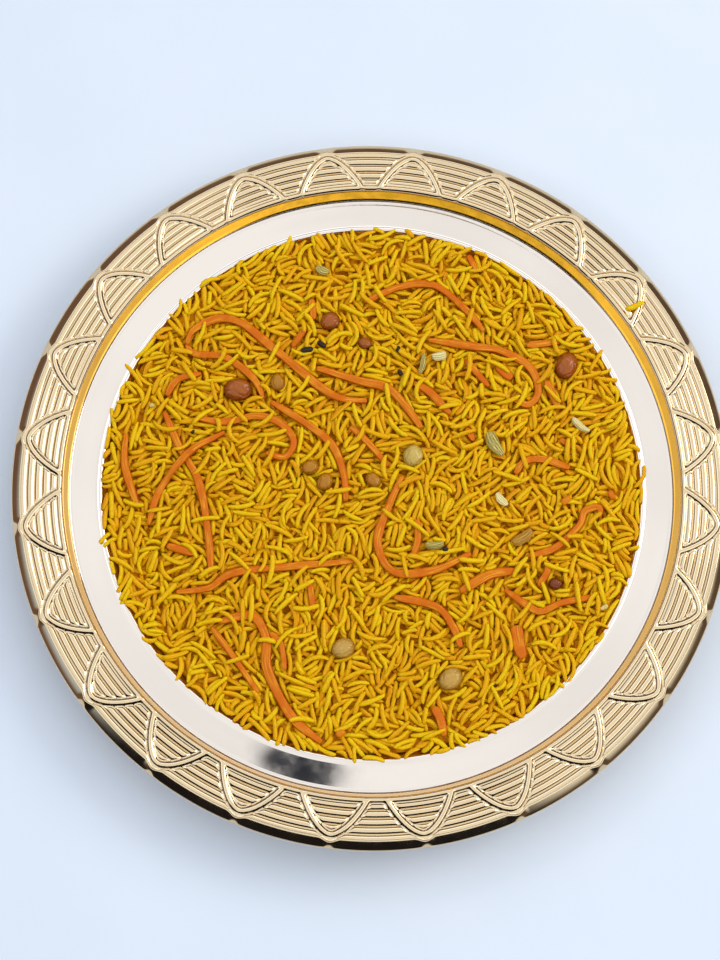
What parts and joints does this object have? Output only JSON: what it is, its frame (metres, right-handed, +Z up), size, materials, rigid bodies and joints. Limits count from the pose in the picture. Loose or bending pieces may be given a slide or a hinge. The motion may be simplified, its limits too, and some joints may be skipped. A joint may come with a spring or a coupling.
{
  "type": "round metal platter of saffron rice",
  "caption": "Round metal platter with a raised gold rim of embossed arches, filled with yellow saffron rice, with carrot shreds, raisins and cardamom pods on top.",
  "frame": {"origin": "middle of the platter's base, on the surface that it stands on", "axes": "+Z up; +X to the right and +Y away from the viewer in the picture, which looks down on the platter"},
  "size_m": [0.34, 0.34, 0.0329],
  "materials": {
    "rim_gold": "gold-coloured plating on pressed stainless steel, polished",
    "tray_silver": "stainless steel, polished",
    "rice": "long-grain rice boiled with saffron, buttered, soft sheen",
    "carrot": "cooked carrot, moist",
    "raisin_brown": "plumped brown raisin, moist skin",
    "raisin_amber": "plumped golden raisin, moist skin",
    "raisin_dark": "small dark raisin",
    "pod_green": "cooked cardamom pod, fibrous husk",
    "husk_pale": "pale piece of cardamom husk"
  },
  "bodies": {
    "root": {"platter": "rim_gold", "rice": "rice", "carrot_01": "carrot", "carrot_02": "carrot", "carrot_03": "carrot", "carrot_04": "carrot", "carrot_05": "carrot", "carrot_06": "carrot", "carrot_07": "carrot", "carrot_08": "carrot", "carrot_09": "carrot", "carrot_10": "carrot", "carrot_11": "carrot", "carrot_12": "carrot", "carrot_13": "carrot", "carrot_14": "carrot", "carrot_15": "carrot", "carrot_16": "carrot", "carrot_17": "carrot", "carrot_18": "carrot", "carrot_19": "carrot", "carrot_20": "carrot", "carrot_21": "carrot", "carrot_22": "carrot", "carrot_23": "carrot", "carrot_24": "carrot", "carrot_25": "carrot", "carrot_26": "carrot", "carrot_27": "carrot", "carrot_28": "carrot", "carrot_29": "carrot", "carrot_30": "carrot", "carrot_31": "carrot", "carrot_32": "carrot", "carrot_33": "carrot", "carrot_34": "carrot", "carrot_35": "carrot", "raisin_01": "raisin_brown", "raisin_02": "raisin_brown", "raisin_03": "raisin_brown", "raisin_04": "raisin_amber", "raisin_05": "raisin_amber", "raisin_06": "raisin_amber", "raisin_07": "raisin_amber", "raisin_08": "raisin_amber", "raisin_09": "raisin_dark", "raisin_10": "raisin_amber", "raisin_11": "raisin_amber", "raisin_12": "raisin_brown", "pod_01": "pod_green", "pod_02": "husk_pale", "pod_03": "husk_pale", "pod_04": "pod_green", "pod_05": "husk_pale", "pod_06": "pod_green", "pod_07": "husk_pale", "pod_08": "pod_green"}
  },
  "joints": []
}
